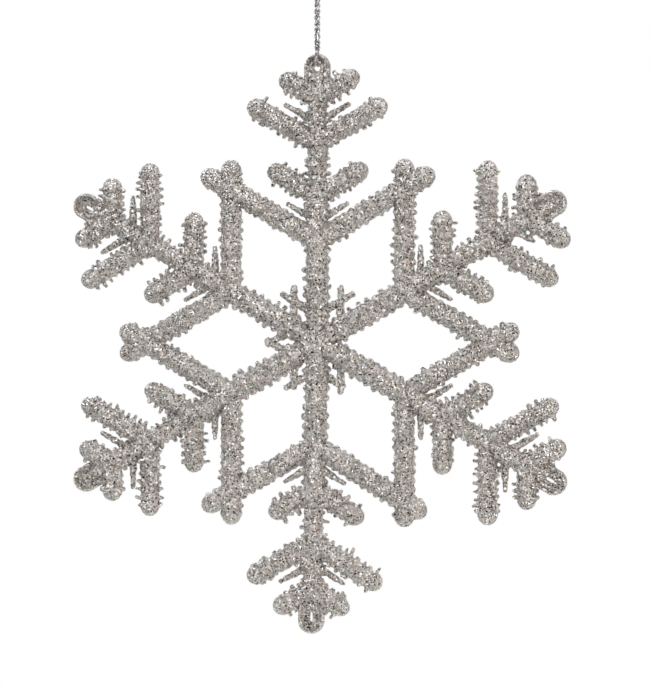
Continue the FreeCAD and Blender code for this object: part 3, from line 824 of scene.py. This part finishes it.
# One outer needle on the right came out short and nearer the tip twig.
SHORT_NEEDLES = {("upper_right", 1, OUTER_NEEDLE): (59.0, 6.8)}
STAR_STATION = 7.2
STAR_REACH = {"whole": 10.9, "middle": 9.4, "short": 8.2}
STAR_NEEDLES = {"top": ("whole", "whole"), "upper_right": ("whole", None),
                "lower_right": (None, "middle"), "bottom": ("short", "middle"),
                "lower_left": ("short", "short"), "upper_left": ("short", "whole")}


def needle_lumps(station, reach, side, taper, chance):
    """A tapered row of lumps, close enough to run into one slim, uneven needle."""
    direction = turned(UP, side * SECTOR)
    made = []
    for share in np.linspace(0.0, 1.0, max(4, round(reach / NEEDLE_STEP))):
        radius = taper[0] + (taper[1] - taper[0]) * share
        wander = np.array([chance.uniform(-NEEDLE_WANDER, NEEDLE_WANDER),
                           chance.uniform(-NEEDLE_WANDER, NEEDLE_WANDER), 0.0])
        made.append(lump(UP * station + direction * reach * share + wander, direction,
                         NEEDLE_LUMP, radius * chance.uniform(*NEEDLE_SPREAD)))
    return made


for arm_number, arm in enumerate(ARMS):
    chance = np.random.default_rng(NEEDLE_SEED + arm_number)
    lumps = []
    for pair in (OUTER_NEEDLE, INNER_NEEDLE):
        for side in (-1, 1):
            station, reach = SHORT_NEEDLES.get((arm, side, pair), pair)
            lumps += needle_lumps(station, reach, side, NEEDLE_TAPER, chance)
    finish_piece(coated_piece(arm + "_needles_coat", lumps, arm_number, rounds=1),
                 arm + "_needles")
    lumps = []
    for side, kind in zip((-1, 1), STAR_NEEDLES[arm]):
        if kind:
            lumps += needle_lumps(STAR_STATION, STAR_REACH[kind], side, STAR_TAPER, chance)
    finish_piece(coated_piece(arm + "_star_needles_coat", lumps, arm_number, rounds=1),
                 arm + "_star_needles")

# ------------------------------------------------------------------ floor and light
# A pale round floor well under the ornament, a white studio round it, and soft lights. The
# floor is board in matt white paint, an even white without gloss. The glitter shows what it
# faces, so the studio is darker low down and behind the camera.

FLOOR_RADIUS = 230
FLOOR_DROP = 150
FLOOR_SEGMENTS = 96
FLOOR_ROUGHNESS = 0.8
FRONT_SHADE, BACK_SHADE = 0.385, 0.75
LOW_SHADE, HIGH_SHADE = 0.75, 1.1
floor_mesh = bpy.data.meshes.new("floor")
disc = bmesh.new()
bmesh.ops.create_circle(disc, cap_ends=True, segments=FLOOR_SEGMENTS, radius=FLOOR_RADIUS * MM)
disc.to_mesh(floor_mesh)
disc.free()
floor = bpy.data.objects.new("floor", floor_mesh)
floor.location = flake_centre + Vector((0, 0, -FLOOR_DROP * MM))
bpy.context.scene.collection.objects.link(floor)
floor_material, floor_output = new_material("matt_white_painted_board")
floor_surface = add_node(floor_material, "ShaderNodeBsdfPrincipled",
                         {"Base Color": linear("EFEFED"), "Roughness": FLOOR_ROUGHNESS})
floor_material.node_tree.links.new(floor_surface.outputs[0], floor_output.inputs["Surface"])
floor_mesh.materials.append(floor_material)

world = bpy.data.worlds.new("white_studio")
bpy.context.scene.world = world
world.use_nodes = True
world.node_tree.nodes.clear()
studio = add_node(world, "ShaderNodeTexCoord")
ways = add_node(world, "ShaderNodeSeparateXYZ", {0: studio.outputs["Generated"]})
backdrop = add_node(world, "ShaderNodeMapRange", {"Value": ways.outputs["Y"], "From Min": -0.2,
                                                  "From Max": 0.5, "To Min": FRONT_SHADE,
                                                  "To Max": BACK_SHADE})
height = add_node(world, "ShaderNodeMapRange", {"Value": ways.outputs["Z"], "From Min": -1.0,
                                                "From Max": 1.0, "To Min": LOW_SHADE,
                                                "To Max": HIGH_SHADE})
shade = add_node(world, "ShaderNodeMath", {0: backdrop.outputs[0], 1: height.outputs[0]},
                 operation="MULTIPLY")
around_object = add_node(world, "ShaderNodeBackground",
                         {"Color": linear("FFFFFF"), "Strength": shade.outputs[0]})
seen = add_node(world, "ShaderNodeBackground", {"Color": linear("FFFFFF"), "Strength": 1.0})
path = add_node(world, "ShaderNodeLightPath")
both = add_node(world, "ShaderNodeMixShader", {0: path.outputs["Is Camera Ray"],
                                               1: around_object.outputs[0], 2: seen.outputs[0]})
add_node(world, "ShaderNodeOutputWorld", {"Surface": both.outputs[0]})


def soft_light(name, place, size, power, colour):
    """A square softbox that faces the flake's centre. place is from there, in millimetres."""
    data = bpy.data.lights.new(name, "AREA")
    data.shape = "SQUARE"
    data.size = size * MM
    data.energy = power
    data.color = linear(colour)[:3]
    light = bpy.data.objects.new(name, data)
    light.location = flake_centre + Vector(place) * MM
    light.rotation_euler = (-Vector(place)).to_track_quat("-Z", "Y").to_euler()
    bpy.context.scene.collection.objects.link(light)


soft_light("left_softbox", (-520, -620, 520), 260, 2.9, "FFFFFF")
soft_light("right_softbox", (640, -420, 60), 240, 2.1, "FFF6EE")
soft_light("top_softbox", (40, -120, 760), 300, 1.4, "F6F9FF")
soft_light("back_softbox", (-260, 640, 180), 300, 1.8, "FFFFFF")

bpy.context.scene.view_settings.view_transform = "Standard"
